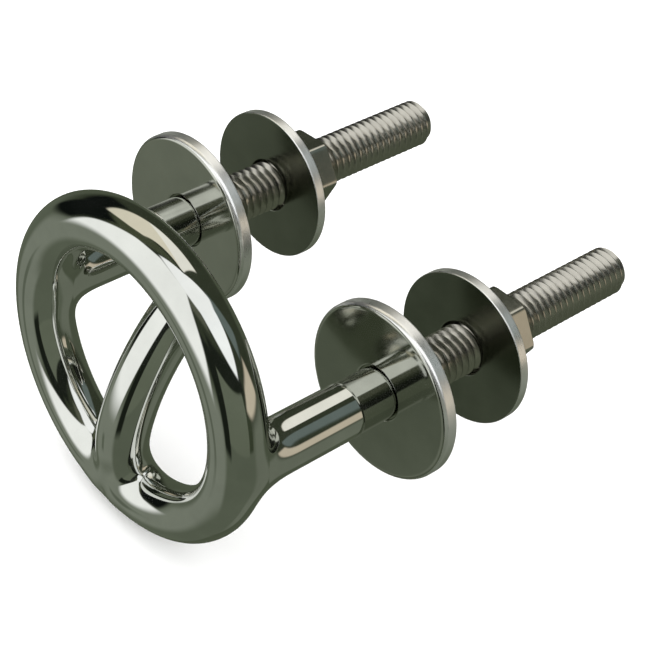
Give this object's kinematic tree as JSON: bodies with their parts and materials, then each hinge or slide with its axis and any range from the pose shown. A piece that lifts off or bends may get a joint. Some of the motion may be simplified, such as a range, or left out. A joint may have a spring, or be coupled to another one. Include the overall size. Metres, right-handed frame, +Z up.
{
  "type": "two-stud tow ring",
  "caption": "Closed round-bar ring with an inner hook, welded to a pair of threaded legs that bolt through a panel with washers and hexagon nuts.",
  "frame": {"origin": "midway between the two legs, on the plane of the panel's outer face where the backs of the front washers sit", "axes": "+Y along the legs into the panel, +Z up with the hook rising from the bottom of the ring, +X to the right when looking along +Y"},
  "size_m": [0.11, 0.1254, 0.0808],
  "materials": {
    "mirror_steel": "mirror-polished stainless steel",
    "weld_steel": "polished weld bead, slightly uneven",
    "thread_steel": "polished leg with a satin machined thread",
    "satin_steel": "satin stainless steel"
  },
  "bodies": {
    "welded_ring": {"ring": "mirror_steel", "hook": "mirror_steel", "hook_weld": "weld_steel", "left_stud": "thread_steel", "right_stud": "thread_steel", "left_stud_weld": "weld_steel", "right_stud_weld": "weld_steel"},
    "left_front_washer": {"left_front_washer": "mirror_steel"},
    "right_front_washer": {"right_front_washer": "mirror_steel"},
    "left_rear_washer": {"left_rear_washer": "satin_steel"},
    "right_rear_washer": {"right_rear_washer": "satin_steel"},
    "left_nut": {"left_nut": "satin_steel"},
    "right_nut": {"right_nut": "satin_steel"}
  },
  "joints": [
    {"name": "left_front_washer_slide", "type": "slide", "parent": "welded_ring", "child": "left_front_washer", "axis": [0, 1, 0], "range_m": [-0.0265, 0.01]},
    {"name": "left_rear_washer_slide", "type": "slide", "parent": "welded_ring", "child": "left_rear_washer", "axis": [0, 1, 0], "range_m": [-0.012, 0.054]},
    {"name": "left_nut_spin", "type": "hinge", "parent": "left_rear_washer", "child": "left_nut", "pos_m": [-0.034, 0.03, 0], "axis": [0, 1, 0], "range_deg": [-2215.4, 9969.3]},
    {"name": "right_front_washer_slide", "type": "slide", "parent": "welded_ring", "child": "right_front_washer", "axis": [0, 1, 0], "range_m": [-0.0265, 0.01]},
    {"name": "right_rear_washer_slide", "type": "slide", "parent": "welded_ring", "child": "right_rear_washer", "axis": [0, 1, 0], "range_m": [-0.012, 0.054]},
    {"name": "right_nut_spin", "type": "hinge", "parent": "right_rear_washer", "child": "right_nut", "pos_m": [0.034, 0.03, 0], "axis": [0, 1, 0], "range_deg": [-2215.4, 9969.3]}
  ],
  "couplings": [
    {"joint": "left_nut_spin", "follows": "left_rear_washer_slide", "rad_per_m": 3222.1},
    {"joint": "right_nut_spin", "follows": "right_rear_washer_slide", "rad_per_m": 3222.1}
  ]
}
